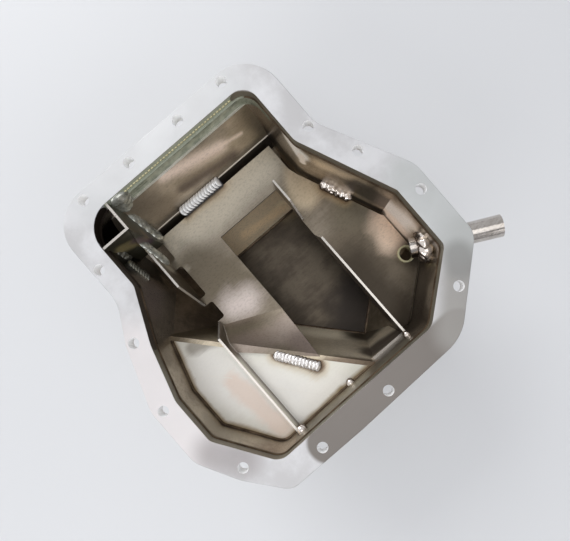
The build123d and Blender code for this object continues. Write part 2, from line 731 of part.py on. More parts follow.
if __name__ == "__main__":
    for name, shape in pieces.items():
        export_step(shape, f"parts/{name}.step")
        print(name, len(shape.solids()), round(shape.volume, 1))
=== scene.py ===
# %% [markdown]
# # Engine oil pan
# A fabricated oil pan: a thick machined flange, folded and TIG-welded steel sheets, a
# baffle with turned-up fins, a quarter-round duct in one corner and a stub of dipstick
# tube. The solids come from the imported model and stay as they are. This lesson gives
# them their finishes and adds what a solid model leaves out: rippled weld beads, heat
# tint, brushing and pale cut edges, and painted light: painted highlights, reflections
# and shade laid into the colours of the sheets, the welds and the flange.

# %% Load the imported model
import math

import bpy
from mathutils import Matrix, Vector


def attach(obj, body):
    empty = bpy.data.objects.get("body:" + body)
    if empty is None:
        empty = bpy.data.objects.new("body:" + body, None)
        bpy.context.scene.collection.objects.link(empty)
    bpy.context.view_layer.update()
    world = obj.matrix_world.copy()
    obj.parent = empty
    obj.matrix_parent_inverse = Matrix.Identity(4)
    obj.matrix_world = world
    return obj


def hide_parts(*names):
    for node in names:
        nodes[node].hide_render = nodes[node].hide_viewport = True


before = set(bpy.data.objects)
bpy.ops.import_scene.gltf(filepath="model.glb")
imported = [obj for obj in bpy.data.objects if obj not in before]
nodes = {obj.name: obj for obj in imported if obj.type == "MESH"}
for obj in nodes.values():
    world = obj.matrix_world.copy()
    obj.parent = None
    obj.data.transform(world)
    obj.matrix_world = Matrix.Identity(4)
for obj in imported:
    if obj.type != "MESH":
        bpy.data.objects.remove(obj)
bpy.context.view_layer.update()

# %% [markdown]
# ## Camera
# The pan was photographed from straight above with a wide lens, so the walls fan out
# from one point of the picture. The camera looks down along Z over that point, turned
# about Z until the flange lies as in the picture, and a small shift places that point.

# %% Camera
PICTURE_WIDTH = 570
PICTURE_TURN = math.atan2(0.653, 0.757)
EYE = (0.0138, -0.0475, 0.424)
FOCAL_PIXELS = 358.4
SHIFT_PIXELS = (-33.0, 34.5)

camera_data = bpy.data.cameras.new("camera")
camera_data.sensor_width = 36.0
camera_data.lens = FOCAL_PIXELS / PICTURE_WIDTH * camera_data.sensor_width
camera_data.shift_x, camera_data.shift_y = (pixels / PICTURE_WIDTH for pixels in SHIFT_PIXELS)
camera_data.clip_start = 0.01
camera = bpy.data.objects.new("camera", camera_data)
camera.location = EYE
camera.rotation_euler = (0.0, 0.0, -PICTURE_TURN)
bpy.context.collection.objects.link(camera)
bpy.context.scene.camera = camera
bpy.context.scene.view_settings.view_transform = "Standard"
print("lens", round(camera_data.lens, 2), "mm")

# %% [markdown]
# ## Shader helpers
# A finish is a small sum of masks. One class wraps a socket so that masks can be added
# and multiplied as plain Python, and one method makes every other node, for the metal
# as well as for the room round the pan.


# %% Sockets as numbers
class Wire:
    """An output of a shade's nodes that can be used in sums."""

    def __init__(self, shade, socket):
        self.shade = shade
        self.socket = socket

    def math(self, operation, *values):
        return self.shade.node("ShaderNodeMath", {"operation": operation}, dict(enumerate(values)))

    def __add__(self, other):
        return self.math("ADD", self, other)

    def __radd__(self, other):
        return self.math("ADD", other, self)

    def __sub__(self, other):
        return self.math("SUBTRACT", self, other)

    def __rsub__(self, other):
        return self.math("SUBTRACT", other, self)

    def __mul__(self, other):
        return self.math("MULTIPLY", self, other)

    def __rmul__(self, other):
        return self.math("MULTIPLY", other, self)


class Shade:
    """Nodes under construction, of a material or of the room."""

    def __init__(self, tree):
        self.tree = tree

    def node(self, kind, settings, values, output=0):
        made = self.tree.nodes.new(kind)
        for key, value in settings.items():
            setattr(made, key, value)
        for key, value in values.items():
            self.feed(made.inputs[key], value)
        return Wire(self, made.outputs[output])

    def feed(self, socket, value):
        if isinstance(value, Wire):
            self.tree.links.new(value.socket, socket)
        else:
            socket.default_value = value


class Finish(Shade):
    """A material under construction, which knows the place on the part."""

    def __init__(self, name):
        self.material = bpy.data.materials.new(name)
        self.material.use_nodes = True
        super().__init__(self.material.node_tree)
        self.surface = self.tree.nodes["Principled BSDF"]
        self.where = self.node("ShaderNodeTexCoord", {}, {}, "Object")

    def set(self, **values):
        for key, value in values.items():
            self.feed(self.surface.inputs[key.replace("_", " ")], value)


print("sums of sockets ready")


# %% Masks
def step(value, low, high):
    """0 below low, 1 above high, smooth between them."""
    return value.shade.node(
        "ShaderNodeMapRange",
        {"interpolation_type": "SMOOTHSTEP"},
        {"Value": value, "From Min": low, "From Max": high},
    )


def mix(mask, first, second):
    """first where the mask is 0, second where it is 1, for colours."""
    return mask.shade.node(
        "ShaderNodeMix",
        {"data_type": "RGBA", "clamp_factor": True},
        {0: mask, 6: first, 7: second},
        2,
    )


def vector(shade, operation, *values, output=0):
    """A sum of places or directions."""
    return shade.node("ShaderNodeVectorMath", {"operation": operation}, dict(enumerate(values)), output)


print("masks ready")

# %% [markdown]
# ## Floor and light
# The pan lies on a pale table near a window: the light is soft and comes from beyond
# the wall over the ramp. Three weaker lamps stand for the rest of the room. The room is
# brighter on the window's side than on the other, and polished steel shows that, so the
# world goes from pale to grey across the sky.

# %% Floor
TABLE_SIZE = 6.0
TABLE_DROP = 0.0005

bpy.ops.object.select_all(action="DESELECT")
bpy.ops.mesh.primitive_plane_add(size=TABLE_SIZE, location=(0.0, 0.0, -TABLE_DROP))
floor = bpy.context.object
floor.name = "floor"
table_top = Finish("table_top")
table_top.set(Base_Color=(0.71, 0.72, 0.74, 1.0), Roughness=0.6)
floor.data.materials.append(table_top.material)
print("floor", tuple(round(v, 2) for v in floor.dimensions))


# %% Lamps
LAMPS = {
    # name: place, target, size in metres, power in watts
    "window": ((0.0, 2.2, 1.25), (0.0, 0.0, 0.1), 1.4, 33.0),
    "ceiling": ((-0.1, -0.2, 2.0), (0.0, 0.0, 0.0), 1.4, 7.0),
    "far_side": ((0.25, -1.7, 1.1), (0.0, 0.1, 0.1), 1.2, 8.0),
    "near_side": ((-1.5, -0.5, 1.0), (0.1, 0.0, 0.1), 0.8, 6.5),
}


def softbox(name, place, target, size, power):
    """A square area light that looks at a target."""
    data = bpy.data.lights.new(name, "AREA")
    data.shape = "SQUARE"
    data.size = size
    data.energy = power
    lamp = bpy.data.objects.new(name, data)
    lamp.location = place
    lamp.rotation_euler = (Vector(target) - Vector(place)).to_track_quat("-Z", "Y").to_euler()
    bpy.context.collection.objects.link(lamp)


for lamp_name, settings in LAMPS.items():
    softbox(lamp_name, *settings)

# %% Room
WINDOW_WAY = (-0.25, 0.95, 0.15)
GREY_SKY = (0.50, 0.50, 0.52, 1.0)
PALE_SKY = (0.78, 0.79, 0.81, 1.0)
SKY_STRENGTH = 0.75

room = bpy.data.worlds.new("room")
bpy.context.scene.world = room
room.use_nodes = True
sky = Shade(room.node_tree)
sky_way = sky.node("ShaderNodeTexCoord", {}, {}, "Generated")
sky_side = vector(sky, "DOT_PRODUCT", sky_way, WINDOW_WAY, output="Value")
sky_share = sky.node("ShaderNodeMapRange", {}, {"Value": sky_side, "From Min": -0.35, "From Max": 0.55})
backdrop = room.node_tree.nodes["Background"]
sky.feed(backdrop.inputs["Color"], mix(sky_share, GREY_SKY, PALE_SKY))
sky.feed(backdrop.inputs["Strength"], SKY_STRENGTH)
print("sky of", len(room.node_tree.nodes), "nodes")

# %% [markdown]
# ## Brushed sheet
# The sheets are brushed stainless steel that went straw, brown and grey where it got
# hot. Fine streaks along the brushing vary gloss and height a little, slow clouds vary
# the colour, and a list of tints lays a colour along a line of the part: the heat tint
# beside a weld, or painted light, that is a painted highlight or reflection, or painted
# shade. A tint paler than a set red is a painted highlight, and it also takes the
# metal's shine away so that it reads brighter. An image could hold the same marks, but
# lines given as places on the part stay sharp at any size.


# %% Heat colours and painted light
def colour(red, green, blue):
    """Display values from 0 to 255 as the scene-linear colour that a node takes."""
    linear = [
        (v / 255 / 12.92) if v / 255 <= 0.04045 else ((v / 255 + 0.055) / 1.055) ** 2.4
        for v in (red, green, blue)
    ]
    return (*linear, 1.0)


STRAW = colour(196, 172, 132)
BROWN = colour(110, 82, 54)
# The darkest colour is heat tint at a weld's toe, specks and dark joints, and also painted shade in the duct's
# corner.
SOOT_AND_SHADE = colour(46, 38, 32)
# A painted shade for the flange's inner edge on the left.
EDGE_SHADE = colour(84, 76, 68)
GREEN = colour(190, 196, 180)
# A painted highlight on a weld.
WELD_HIGHLIGHT = colour(238, 234, 228)
CUT_EDGE_HIGHLIGHT = colour(214, 208, 200)
print("heat colours ready")


# %% Grain of the metal
def noise(finish, size, detail=3.0, roughness=0.5, stretch=(1, 1, 1), turn=0.0):
    """Noise from 0 to 1 whose features are about size metres, stretched along X after a turn about Z."""
    placed = finish.node(
        "ShaderNodeMapping",
        {},
        {
            "Vector": finish.where,
            "Rotation": (0.0, 0.0, turn),
            "Scale": tuple(1.0 / (size * s) for s in stretch),
        },
    )
    return finish.node(
        "ShaderNodeTexNoise",
        {},
        {"Vector": placed, "Scale": 1.0, "Detail": detail, "Roughness": roughness},
    )


def relief(finish, strength, height):
    """Normals of brush marks that stand at most 0.2 mm high."""
    return finish.node("ShaderNodeBump", {}, {"Strength": strength, "Distance": 0.0002, "Height": height})


print("grain ready")

# %% Places on the part
GASKET_HEIGHT = 144.0


def mm(x, y, depth):
    """Point in metres from the part's x and y and the depth below the gasket face, in mm."""
    return (x / 1000, y / 1000, (GASKET_HEIGHT - depth) / 1000)


def near(finish, start, end, inner, outer, wander=1.0):
    """1 within inner millimetres of a line, falling to 0 at outer; wander scales the distance."""
    a, b = Vector(mm(*start)), Vector(mm(*end))
    run = b - a
    offset = vector(finish, "SUBTRACT", finish.where, tuple(a))
    if run.length > 1e-6:
        along = vector(finish, "DOT_PRODUCT", offset, tuple(run / run.length_squared), output=1)
        along = finish.node("ShaderNodeClamp", {}, {"Value": along})
        foot = vector(finish, "SCALE", tuple(run))
        finish.feed(foot.socket.node.inputs["Scale"], along)
        offset = vector(finish, "SUBTRACT", offset, foot)
    distance = vector(finish, "LENGTH", offset, output=1)
    return 1.0 - step(distance * wander, inner / 1000, outer / 1000)


def facing(finish, direction, low=0.95, high=0.97):
    """1 on faces that look along a direction, so that a tint ends at a fold."""
    way = finish.node("ShaderNodeTexCoord", {}, {}, "Normal")
    return step(vector(finish, "DOT_PRODUCT", way, direction, output="Value"), low, high)


def between(value, low, high, soft=0.0003):
    """1 between two places along an axis."""
    return step(value, low - soft, low) * (1.0 - step(value, high, high + soft))


def edge_highlight_mask(finish, low, high, *bands):
    """1 on faces that look up between two heights, and within bands of x where they are given: the top edges that
    get a painted highlight.
    """
    way = finish.node("ShaderNodeTexCoord", {}, {}, "Normal")
    up = finish.node("ShaderNodeSeparateXYZ", {}, {0: way}, "Z")
    height = finish.node("ShaderNodeSeparateXYZ", {}, {0: finish.where}, "Z")
    found = step(up, 0.3, 0.4) * between(height, low, high)
    if bands:
        across = finish.node("ShaderNodeSeparateXYZ", {}, {0: finish.where}, "X")
        found = found * sum(between(across, left, right) for left, right in bands)
    return found


print("places ready, gasket face at", GASKET_HEIGHT, "mm")

# %% Brushed steel
STREAK_WIDTH = 0.0006
SPECK_WIDTH = 0.0014
GRAIN_WIDTH = 0.004
HIGHLIGHT_RED = 0.8  # a tint with more red than this is a painted highlight, and takes the metal's shine away where it lies so that it reads brighter


def brushed(name, light, dark, tints=(), turn=0.0, rough=0.36, streak=0.10, metal=0.6, cloud=0.03, edges=None,
            grit=0.2, inside=None):
    """Brushed sheet between two colours, with tints; edges gives the heights between which the cut edges that
    look up are painted pale, partly bare cut metal and partly a painted highlight.

    With inside, a direction, the tints stay on the faces that look that way.
    """
    finish = Finish(name)
    streaks = noise(finish, STREAK_WIDTH, detail=4.0, stretch=(40, 1, 1), turn=turn)
    clouds = noise(finish, cloud, detail=4.0)
    grain = noise(finish, GRAIN_WIDTH, detail=2.0, stretch=(6, 1, 1), turn=turn)
    specks = noise(finish, SPECK_WIDTH, detail=3.0, roughness=0.7, stretch=(2, 1, 1), turn=turn)
    base = mix(step(clouds * 0.75 + grain * 0.25, 0.36, 0.64), dark, light)
    wander = 1.0 + (clouds - 0.5) * 1.2 + (streaks - 0.5) * 0.5
    inner_faces = facing(finish, inside, -0.05, 0.05) if inside else 1.0
    for start, end, inner, outer, tint, amount, *side in tints:
        here = near(finish, start, end, inner, outer, wander) * amount
        if side:
            here = here * facing(finish, side[0])
        if inside:
            here = here * inner_faces
        base = mix(here, base, tint)
        # A tint paler than this is a painted highlight, and the metal's shine is taken away under it so that it
        # reads brighter.
        if tint[0] > HIGHLIGHT_RED:
            metal = metal * (1.0 - here)
    base = mix(step(specks, 0.45, 0.7) * grit, base, SOOT_AND_SHADE)
    shine = rough + (streaks - 0.5) * streak * 2.0
    # The cut edges that look up are painted pale and a little glossier: partly bare cut metal, partly a painted
    # highlight.
    if edges is not None:
        cut = edge_highlight_mask(finish, *edges)
        base = mix(cut, base, CUT_EDGE_HIGHLIGHT)
        shine = shine - cut * 0.1
    finish.set(Metallic=metal, Roughness=shine, Base_Color=base, Normal=relief(finish, 0.15, streaks))
    return finish


def heated(start, end, reach, amount=0.9):
    """Tints beside a weld: straw outside, then brown, then dark at the toe."""
    return [
        (start, end, reach, reach * 2.2, STRAW, amount * 0.5),
        (start, end, reach * 0.6, reach * 1.3, BROWN, amount),
        (start, end, reach * 0.4, reach * 0.7, SOOT_AND_SHADE, amount),
    ]


print("brushed steel ready")

# %% [markdown]
# ## Sheets of the pan
# Each sheet has its own tints: heat tint along its own welds, and painted light, the
# painted highlights, reflections and shade of the places where light fell on it or
# didn't. Places are the part's x, y and depth under the gasket face, in millimetres.
# A tint is a line, the distance to which it is full, the distance at which it ends, a
# colour and an amount, and some end at a fold because they name the side they lie on.

# %% Seams of the flange and of the shelf
FLANGE_LINE = [
    ((-85.4, 58, 10), (-85.4, 97, 10)), ((-60, 121.5, 10), (72, 121.5, 10)), ((84, 109, 10), (84, 62, 10)),
    ((84, 62, 10), (119.5, -20, 10)), ((119.5, -20, 10), (119.5, -76.5, 10)),
    ((119.5, -76.5, 10), (70, -118.6, 10)), ((70, -118.6, 10), (-20, -119.9, 10)),
    ((-20, -119.9, 10), (-88, -121.3, 10)), ((-88, -121.3, 10), (-120, -73, 10)),
    ((-120, -73, 10), (-120, -32, 10)), ((-120, -32, 10), (-106, 14, 10)), ((-106, 14, 10), (-85.4, 58, 10)),
    ((-84.5, 104, 10), (-78, 114, 10)), ((-78, 114, 10), (-68, 120.5, 10)), ((72, 121, 10), (83, 110, 10)),
]
SHELF_LINE = [
    ((-20, -119.9, 40), (-88, -121.3, 40)), ((-88, -121.3, 40), (-120, -73, 40)),
    ((-120, -73, 40), (-120, -32, 40)), ((-120, -32, 40), (-106, 14, 40)), ((-20, -119.9, 40), (20, -119.3, 40)),
]


def along_flange(numbers, tint=BROWN, amount=0.8):
    """Tints under the flange along some runs of its inner edge."""
    return [(*FLANGE_LINE[n], 1.2, 4.0, tint, amount) for n in numbers]


print(len(FLANGE_LINE), "runs along the flange,", len(SHELF_LINE), "along the shelf")

# %% Tints of the walls
WAIST_SIDE = (-0.918, -0.397, 0.0)
RIGHT_SIDE = (-1.0, 0.0, 0.0)
CORNER_SIDE = (-0.648, 0.762, 0.0)
INCLINE_SIDE = (0.0, -0.973, 0.233)

# Painted light on the ramp sheet: its two ends are darker, the pale streaks and the thin pale lines at its bend
# and at its foot are painted highlights and reflections, a darker patch lies below the upper streak, and the dark
# band under the baffle's edge is a painted shadow.
INCLINE_HIGHLIGHTS_AND_SHADE = [
    ((-62, 117, 28), (-36, 112, 54), 8.0, 34.0, colour(150, 138, 122), 0.9),
    ((78, 116, 30), (80, 110, 60), 6.0, 26.0, colour(140, 128, 108), 0.9),
    ((-14, 118.9, 22), (40, 115.6, 37), 0.0, 12.0, colour(255, 232, 214), 0.95),
    ((40, 115.6, 37), (62, 114.4, 42), 0.0, 3.5, colour(250, 228, 208), 0.8),
    ((-10, 113.0, 47), (45, 111.0, 56), 0.0, 10.0, colour(104, 92, 84), 0.9),
    ((-59, 103.5, 72), (84, 103.5, 72), 5.5, 8.0, colour(44, 38, 32), 1.0),
    ((-59, 108.5, 66), (84, 108.5, 66), 0.4, 0.9, colour(250, 240, 224), 1.0),
    ((-30, 68, 126), (60, 68, 126), 14.0, 40.0, colour(236, 214, 180), 0.9),
    ((56, 66, 130), (62, 62, 134), 3.0, 9.0, colour(255, 236, 200), 0.9),
    ((4, 67.2, 126.8), (56, 63.4, 132.4), 1.5, 9.0, colour(255, 228, 188), 1.0),
    ((-4, 58.6, 139.6), (54, 58.6, 139.6), 0.3, 0.9, colour(226, 214, 190), 0.9),
]
# On the right wall the brown under the flange and round the tube is heat tint. The pale patches at the bends and
# on the flat are painted highlights, the dark side of the fold is painted shade, the dark bands along the
# baffle's edge are painted shadow, and the wall is darker beside the tube and towards the front corner.
RIGHT_HEAT_TINT_AND_PAINTED_LIGHT = [
    *along_flange((2, 3, 4, 5), colour(96, 74, 50)),
    ((84, 70, 13), (85.5, 58, 24), 4.0, 11.0, colour(255, 246, 234), 1.0),
    ((85.5, 58, 24), (86, 57, 38), 1.5, 5.0, colour(255, 240, 222), 1.0),
    ((92, 42, 24), (108, 8, 20), 1.0, 13.0, colour(250, 224, 186), 0.6),
    ((108, 5, 36), (119, -18, 40), 11.0, 22.0, colour(66, 58, 53), 0.95, WAIST_SIDE),
    ((119.5, -20, 44), (119.5, -44, 36), 8.0, 24.0, colour(255, 242, 230), 1.0, RIGHT_SIDE),
    ((119.5, -24, 60), (119.5, -46, 56), 4.0, 14.0, colour(255, 232, 212), 0.9, RIGHT_SIDE),
    ((119.5, -72, 24), (119.5, -76, 60), 4.0, 16.0, colour(74, 66, 58), 0.9),
    ((112, -83, 50), (70, -118.6, 50), 14.0, 40.0, colour(72, 62, 53), 0.95),
    ((84, 112, 62), (84, 64, 62), 5.0, 14.0, colour(52, 46, 40), 0.9),
    ((84, 62, 64), (119.5, -20, 64), 2.0, 7.0, colour(58, 50, 44), 0.8),
    *heated((119.5, -62, 37), (119.5, -74, 37), 9.0, 0.7),
]
FRONT_TINTS = [
    ((30, -119, 44), (64, -118.8, 36), 6.0, 20.0, colour(92, 82, 72), 0.9),
    *along_flange((6, 7), colour(120, 104, 84)),
    *[(*SHELF_LINE[n], 1.0, 5.0, BROWN, 0.9) for n in (0, 4)],
]
# On the left wall one patch is paler, and the near-black in the duct's corner is painted shade.
LEFT_TINTS_AND_DUCT_SHADE = [
    *along_flange((0, 11, 10), colour(52, 45, 40)),
    ((-90, 48, 24), (-86, 60, 40), 4.0, 26.0, colour(206, 190, 182), 0.7),
    ((-85.4, 97, 20), (-78, 118, 40), 20.0, 30.0, colour(34, 26, 22), 1.0),
    ((-60, 121.5, 60), (-85, 97, 60), 24.0, 34.0, colour(30, 23, 20), 1.0),
]
SHELF_WALL_TINTS = [
    *along_flange((7, 8, 9), colour(96, 82, 66)),
    *[(*SHELF_LINE[n], 1.5, 5.0, SOOT_AND_SHADE, 0.8) for n in (0, 1, 2, 3)],
    ((-119, -60, 24), (-112, -86, 24), 4, 12, colour(160, 150, 134), 0.7),
]
print("tints of the walls ready")

# %% Tints of the sump, the baffle, the shelf and the duct
# On the step wall the brown at its foot is heat tint. The pale patch low in the sump and the thin pale line of
# its lip are painted highlights, the brown in the pocket at the left is painted shade, and it is darker towards
# the right end and along the shelf's edge.
STEP_HEAT_TINT_AND_PAINTED_LIGHT = [
    ((30, -117, 66), (52, -117, 56), 10.0, 26.0, colour(88, 78, 70), 0.95),
    ((-14, -95, 40), (24, -121, 40), 3.0, 12.0, colour(120, 104, 88), 0.95),
    ((-60, -15, 141), (60, -120, 141), 1.0, 4.0, BROWN, 1.0),
    ((-106, 12, 52), (-84, 4, 80), 10.0, 34.0, colour(98, 86, 68), 0.95),
    ((-104, 9, 41), (-78, -13, 41), 0.5, 1.2, colour(196, 184, 164), 0.9),
    ((-25, -62, 128), (0, -84, 128), 10.0, 40.0, colour(250, 238, 212), 0.9),
    ((16, -112, 128), (50, -116, 128), 12.0, 34.0, colour(70, 60, 48), 0.95),
]
# The floor of the sump carries only painted light: a painted shadow at the front right and a paler painted patch
# of light at the right end of the ramp's foot.
FLOOR_PAINTED_SHADOW_AND_LIGHT = [
    ((60, -66, 142), (30, -88, 142), 10.0, 44.0, colour(46, 39, 34), 0.95),
    ((54, 58, 142), (62, 56, 142), 3.0, 14.0, colour(132, 118, 94), 0.9),
]
# The baffle's heat tint lies beside its two welds. The rest is painted light: paler at the back, and in painted
# highlights by the right wall, by the duct, on the tail and along a fin's top edge; darker in painted shade
# towards the front and the right, and on the lower part of the tail.
BAFFLE_HEAT_TINT_AND_PAINTED_LIGHT = [
    ((-60, 94, 66), (60, 94, 66), 4.0, 44.0, colour(216, 206, 188), 0.9),
    ((80, 60, 66), (72, 40, 66), 6.0, 20.0, colour(206, 188, 160), 0.8),
    ((96, 0, 66), (84, -10, 66), 8.0, 26.0, colour(112, 104, 88), 0.9),
    ((70, -20, 66), (110, -92, 66), 8.0, 34.0, colour(104, 94, 80), 0.9),
    ((60, -52, 66), (64, -110, 66), 10.0, 44.0, colour(60, 52, 42), 0.95),
    ((117, -25, 66), (108, -46, 66), 3.0, 22.0, colour(230, 206, 184), 0.9),
    ((-50, 56, 66), (-36, 20, 66), 12.0, 34.0, colour(106, 97, 82), 0.85),
    ((-48, 4, 65), (-36, 0, 65), 0.0, 24.0, colour(206, 194, 188), 0.9),
    ((-68, -16, 58), (-36, -32, 56), 0.0, 13.0, colour(132, 126, 108), 0.9),
    ((-60, -34, 48), (-20, -44, 50), 4.0, 24.0, colour(170, 156, 146), 0.9),
    ((-67, -40, 26), (-67, -116, 26), 2.0, 12.0, colour(228, 223, 212), 0.9),
    ((-69, 70, 50), (-60, 62, 60), 2.0, 9.0, colour(214, 206, 190), 0.9),
    ((-20, -62, 46), (-15, -74, 42), 3.0, 17.0, colour(132, 118, 110), 0.9),
    *heated((-26, 101, 66), (18, 101, 66), 5.0, 0.55),
    *heated((92, 35, 66), (101, 13, 66), 5.0, 0.6),
]
# On the shelf the tints along its seams and beside the tail's bead are heat tint and dark joints. The pale
# patches, the pink patch and the two thin pale lines are painted highlights and reflections, and two marks are
# darker.
SHELF_HEAT_TINT_AND_HIGHLIGHTS = [
    ((-88, -12, 40), (-6, -98, 40), 6.0, 34.0, colour(228, 225, 214), 0.9),
    ((-100, -30, 40), (-60, -100, 40), 10.0, 40.0, colour(247, 244, 238), 0.8),
    ((-44, -110, 40), (-20, -112, 40), 3.0, 20.0, colour(248, 244, 236), 0.8),
    *[(*line, 1.2, 6.0, colour(150, 128, 92), 0.9) for line in SHELF_LINE],
    *[(*line, 0.6, 2.2, SOOT_AND_SHADE, 0.9) for line in SHELF_LINE],
    ((-96, -3, 40), (-72, -12, 40), 2.0, 9.0, colour(150, 142, 130), 0.8),
    ((-88, -50, 40), (-82, -108, 40), 4.0, 14.0, colour(240, 220, 206), 0.8),
    *heated((-43, -57.5, 40), (-22, -88.5, 40), 6.5, 0.9),
    ((-64, -20, 40), (10, -103, 40), 1.0, 4.5, colour(150, 132, 104), 0.7),
    ((-102.7, -30.3, 40), (-87, -46.9, 40), 0.2, 0.7, colour(244, 240, 232), 0.8),
    ((-66.3, -75.2, 40), (-31.9, -115.5, 40), 0.2, 0.7, colour(244, 240, 232), 0.8),
]
DUCT_TINTS = [
    ((-59.5, 118, 6), (-59.5, 97, 44), 6.0, 20.0, colour(112, 112, 100), 0.8),
    ((-80, 94.6, 20), (-66, 94.6, 30), 3.0, 10.0, colour(200, 184, 136), 0.9),
    ((-66, 95, 24), (-63, 95, 40), 2.0, 8.0, colour(118, 96, 112), 0.8),
]
print("tints inside the pan ready")

# %% Finish of each sheet
QUARTER_TURN = math.radians(90)
sheet_finishes = {
    "ramp_sheet": brushed(
        "ramp_steel", colour(206, 192, 172), colour(176, 162, 142), INCLINE_HIGHLIGHTS_AND_SHADE, inside=(0.0, -0.8, 0.6),
        edges=(0.1232, 0.1245),
    ),
    "top_collar": brushed(
        "collar_steel", colour(186, 192, 176), colour(140, 149, 134), cloud=0.007, rough=0.3, grit=0.1
    ),
    "right_wall": brushed(
        "right_wall_steel", colour(176, 162, 144), colour(138, 124, 108), RIGHT_HEAT_TINT_AND_PAINTED_LIGHT, inside=(-1.0, 0.1, 0.0),
        turn=QUARTER_TURN, rough=0.3, metal=0.8,
    ),
    "front_wall": brushed(
        "front_wall_steel", colour(150, 142, 124), colour(112, 104, 90), FRONT_TINTS, inside=(0.0, 1.0, 0.0)
    ),
    "left_wall": brushed(
        "left_wall_steel", colour(190, 178, 162), colour(150, 138, 122), LEFT_TINTS_AND_DUCT_SHADE, inside=(1.0, -0.5, 0.0),
        turn=QUARTER_TURN, rough=0.3, metal=0.8,
    ),
    "shelf_wall": brushed(
        "shelf_wall_steel", colour(182, 170, 152), colour(146, 134, 118), SHELF_WALL_TINTS,
        inside=(1.0, 0.0, 0.0), rough=0.3, metal=0.8,
    ),
    "step_wall": brushed(
        "step_steel", colour(234, 220, 196), colour(206, 192, 168), STEP_HEAT_TINT_AND_PAINTED_LIGHT, inside=(0.5, 0.85, 0.3),
        edges=(0.0950, 0.0965),
    ),
    "sump_floor": brushed(
        "floor_steel", colour(104, 94, 80), colour(78, 68, 57), FLOOR_PAINTED_SHADOW_AND_LIGHT, inside=(0.0, 0.0, 1.0),
        turn=math.radians(50), rough=0.42, streak=0.16,
    ),
    "main_baffle": brushed(
        "baffle_steel", colour(134, 124, 110), colour(112, 102, 88), BAFFLE_HEAT_TINT_AND_PAINTED_LIGHT,
        edges=(0.0786, 0.1210, (-0.0705, -0.0678), (0.0554, 0.0578)),
        turn=QUARTER_TURN, rough=0.34, metal=0.75,
    ),
    "corner_duct": brushed(
        "duct_steel", colour(108, 104, 90), colour(76, 72, 58), DUCT_TINTS, edges=(0.1420, 0.1430)
    ),
    "shelf_floor": brushed(
        "shelf_steel", colour(236, 234, 226), colour(228, 225, 214), SHELF_HEAT_TINT_AND_HIGHLIGHTS, inside=(0.0, 0.0, 1.0),
        rough=0.4, metal=0.35, cloud=0.02, grit=0.03,
    ),
    "left_slope": brushed("left_slope_steel", colour(140, 126, 110), colour(104, 92, 78), turn=QUARTER_TURN),
}
sheet_finishes["duct_gusset"] = sheet_finishes["corner_duct"]
plain_sheet = brushed("pan_steel", colour(150, 138, 120), colour(118, 106, 90))
print(len(sheet_finishes), "sheets with finishes of their own")

# %% [markdown]
# ## Flange
# The flange is a thick plate whose face was ground by hand, so it is pale and satin
# with short strokes in many directions. Painted reflections lie on its level face only:
# it is darker along the front run and round the front corners and paler down the left
# side, as the dark and the bright sides of the room would show in it. The plate's inner
# edge took the heat of the seam under it, and down the left and in the duct's corner it
# is painted dark, painted shade. The walls of the holes are painted near white, painted
# light that stands for the bright table seen through them.

# %% Places on the flange
BOLT_HOLES = [
    (-71.6, 134.2), (70.2, 134.2), (-25.5, 133.4), (24.8, 133.4), (-114.9, 23.8), (116.0, 23.8),
    (-132.0, -31.5), (134.0, -31.5), (-56.2, -134.2), (11.9, -134.2), (-97.8, 84.9), (99.2, 63.5),
    (-113.7, -105.6), (106.9, -108.2),
]
HOLE_DEPTH = 12
HOLE_REACH = (5.5, 6.0)
# Painted reflections on the flange's level face: darker along the front run and round the front corners, a little
# darker up the right end and at the back, and paler down the left side.
FLANGE_PAINTED_REFLECTIONS = [
    ((-50, -134, 0), (84, -134, 0), 15.0, 19.0, colour(128, 122, 117), 1.0),
    ((84, -134, 0), (136, -84, 0), 8.0, 28.0, colour(160, 157, 153), 0.9),
    ((134, -78, 0), (134, -20, 0), 8.0, 30.0, colour(196, 199, 198), 0.8),
    ((122, -90, 0), (119, -96, 0), 6.0, 18.0, colour(150, 150, 148), 0.8),
    ((-60, 132, 0), (60, 132, 0), 12.0, 40.0, colour(206, 207, 208), 0.8),
    ((-122, 18, 0), (-132, -60, 0), 12.0, 40.0, colour(232, 227, 227), 0.9),
    ((-124, -82, 0), (-110, -100, 0), 2.0, 26.0, colour(164, 158, 158), 0.8),
]
EDGE_DEPTH = 5
EDGE_REACH = (4.2, 4.9)
EDGE_TINT = colour(128, 122, 108)
# The plate's inner edge takes heat tint, green along the back; down the left and at the duct's corner it is
# painted dark, painted shade.
EDGE_TINTS_AND_SHADE = {0: EDGE_SHADE, 1: GREEN, 11: EDGE_SHADE, 12: SOOT_AND_SHADE, 13: SOOT_AND_SHADE}
print(len(BOLT_HOLES), "holes,", len(FLANGE_PAINTED_REFLECTIONS), "ground places")

# %% Flange steel
flange_steel = Finish("flange_steel")
strokes = noise(flange_steel, 0.0008, detail=4.0, stretch=(18, 1, 1), turn=math.radians(35))
swirl = noise(flange_steel, 0.03, detail=5.0, roughness=0.6)
flange_base = mix(step(swirl, 0.35, 0.65), colour(204, 203, 204), colour(222, 222, 224))
level = facing(flange_steel, (0.0, 0.0, 1.0), 0.3, 0.4)
# The painted reflections go on the level face only.
for start, end, inner, outer, tint, amount in FLANGE_PAINTED_REFLECTIONS:
    flange_base = mix(near(flange_steel, start, end, inner, outer) * level * amount, flange_base, tint)
# Painted light: the walls of the holes are painted near white and less metallic, for the bright table seen
# through them.
painted_hole_light = (1.0 - level) * sum(
    near(flange_steel, (x, y, 0), (x, y, HOLE_DEPTH), *HOLE_REACH) for x, y in BOLT_HOLES
)
flange_base = mix(painted_hole_light, flange_base, colour(252, 252, 252))
